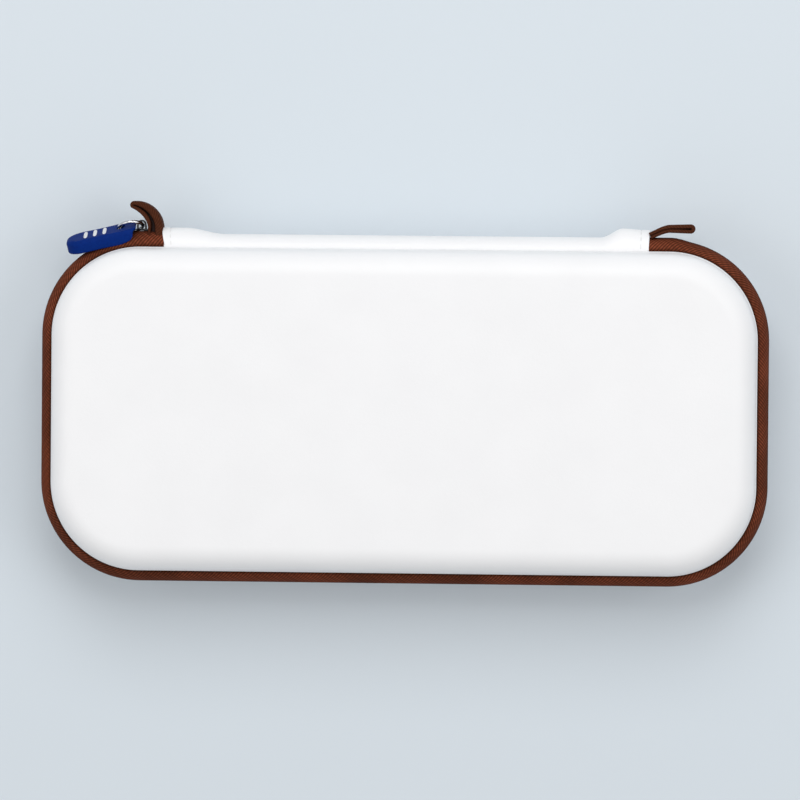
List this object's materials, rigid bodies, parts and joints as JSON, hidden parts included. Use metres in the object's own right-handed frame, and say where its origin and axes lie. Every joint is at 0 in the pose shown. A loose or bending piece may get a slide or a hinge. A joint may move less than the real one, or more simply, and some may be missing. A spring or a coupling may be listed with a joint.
{
  "type": "portable game console case",
  "caption": "Zipped hard case for a handheld game console: two moulded halves on a folding hinge spine, with a divider, card pockets, a net pocket and a zip pull on a ring.",
  "frame": {"origin": "centre of the flat back face", "axes": "+X along the hinge spine to the right, +Y from the case to the spine, +Z out of the front face"},
  "size_m": [0.262, 0.138, 0.042],
  "materials": {
    "white_leather": "smooth matte",
    "lining_cloth": "brushed",
    "binding_cloth": "ribbed",
    "zip_cloth": "twill",
    "coil_plastic": "satin",
    "divider_cloth": "brushed",
    "pocket_cloth": "net",
    "net_cloth": "net",
    "elastic_cloth": "ribbed",
    "strap_cloth": "webbing",
    "bright_metal": "polished",
    "blue_rubber": "matte"
  },
  "bodies": {
    "back": {"back_shell": "white_leather", "back_lining": "lining_cloth", "back_binding": "binding_cloth", "back_zip_tape": "zip_cloth", "back_zip_coil": "coil_plastic", "console_strap": "strap_cloth", "strap_tab": "strap_cloth"},
    "spine": {"hinge_spine": "white_leather", "hinge_gusset": "lining_cloth", "zip_end_left": "zip_cloth", "zip_end_right": "zip_cloth", "zip_tail_left": "zip_cloth", "zip_tail_right": "zip_cloth", "divider_panel": "divider_cloth", "divider_binding": "binding_cloth", "card_pockets_upper": "pocket_cloth", "card_pockets_lower": "pocket_cloth"},
    "front": {"front_shell": "white_leather", "front_lining": "lining_cloth", "front_binding": "binding_cloth", "front_zip_tape": "zip_cloth", "front_zip_coil": "coil_plastic", "mesh_pocket": "net_cloth", "pocket_elastic": "elastic_cloth"},
    "slider": {"zip_slider": "bright_metal"},
    "ring": {"pull_ring": "bright_metal"},
    "pull": {"zip_pull": "blue_rubber"}
  },
  "joints": [
    {"name": "spine_fold", "type": "hinge", "parent": "back", "child": "spine", "pos_m": [0, 0.06235, 0.014], "axis": [-1, 0, 0], "range_deg": [0, 90]},
    {"name": "lid_fold", "type": "hinge", "parent": "spine", "child": "front", "pos_m": [0, 0.06235, 0.028], "axis": [-1, 0, 0], "range_deg": [0, 90]},
    {"name": "slider_run", "type": "hinge", "parent": "spine", "child": "slider", "pos_m": [-0.095, 0.02635, 0.021], "axis": [0, 0, 1], "range_deg": [0, 14]},
    {"name": "ring_swing", "type": "hinge", "parent": "slider", "child": "ring", "pos_m": [-0.09495, 0.06695, 0.021], "axis": [0, 0, -1], "range_deg": [0, 32]},
    {"name": "pull_swing", "type": "hinge", "parent": "ring", "child": "pull", "pos_m": [-0.10347, 0.06575, 0.021], "axis": [0, 0, -1], "range_deg": [0, 14]}
  ],
  "couplings": [
    {"joint": "lid_fold", "follows": "spine_fold", "ratio": 1}
  ]
}
